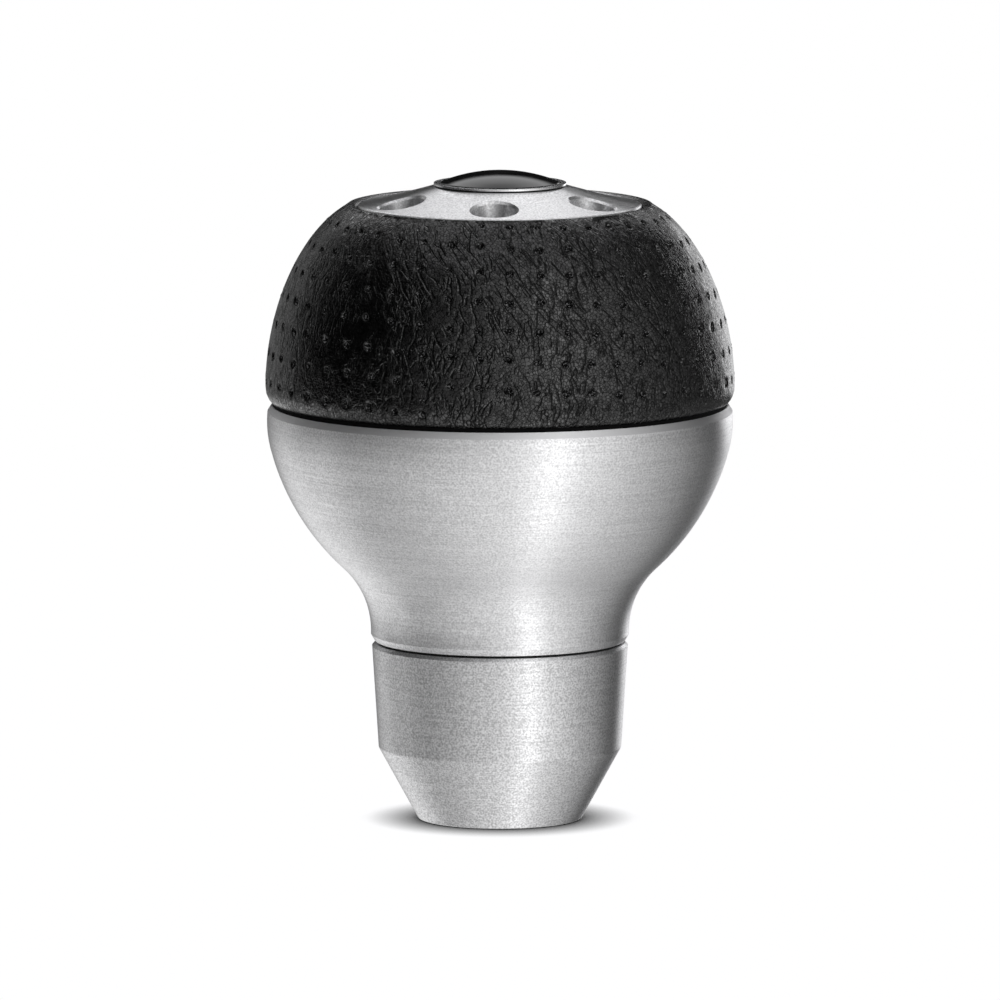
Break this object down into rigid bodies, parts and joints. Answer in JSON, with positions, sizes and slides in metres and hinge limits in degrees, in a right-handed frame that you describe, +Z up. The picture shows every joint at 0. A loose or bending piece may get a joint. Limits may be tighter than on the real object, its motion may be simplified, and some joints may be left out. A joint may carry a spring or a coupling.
{
  "type": "gear shift knob",
  "caption": "Bulb-shaped gear shift knob: turned aluminium body with a screw-down lock collar, perforated leather head, drilled top ring and a plain domed badge.",
  "frame": {"origin": "on the knob's axis at the foot of the lock collar", "axes": "+Z up along the gear lever's axis, -Y towards the driver (the picture's camera)"},
  "size_m": [0.052, 0.052, 0.0724],
  "materials": {
    "collar_aluminium": "fine turned, satin",
    "body_aluminium": "fine turned, satin",
    "ring_aluminium": "fine turned, bright",
    "black_rubber": "matt",
    "sleeve_nylon": "moulded",
    "screw_steel": "black oxide",
    "core_plastic": "moulded",
    "leather": "grained and perforated",
    "badge_black": "gloss"
  },
  "bodies": {
    "collar": {"lock_collar": "collar_aluminium"},
    "washer": {"collar_washer": "black_rubber"},
    "knob": {"lower_body": "body_aluminium", "lever_sleeve": "sleeve_nylon", "set_screws": "screw_steel", "head_core": "core_plastic", "leather_cover": "leather", "top_ring": "ring_aluminium", "centre_screw": "screw_steel", "badge_seal": "black_rubber", "badge_rim": "ring_aluminium", "badge_dome": "badge_black"}
  },
  "joints": [
    {"name": "knob_turn", "type": "hinge", "parent": "collar", "child": "washer", "pos_m": [0, 0, 0.0197], "axis": [0, 0, 1], "range_deg": [0, 2700]},
    {"name": "knob_lift", "type": "slide", "parent": "washer", "child": "knob", "axis": [0, 0, 1], "range_m": [0, 0.01125]}
  ],
  "couplings": [
    {"joint": "knob_lift", "follows": "knob_turn", "m_per_rad": 0.00023873}
  ]
}
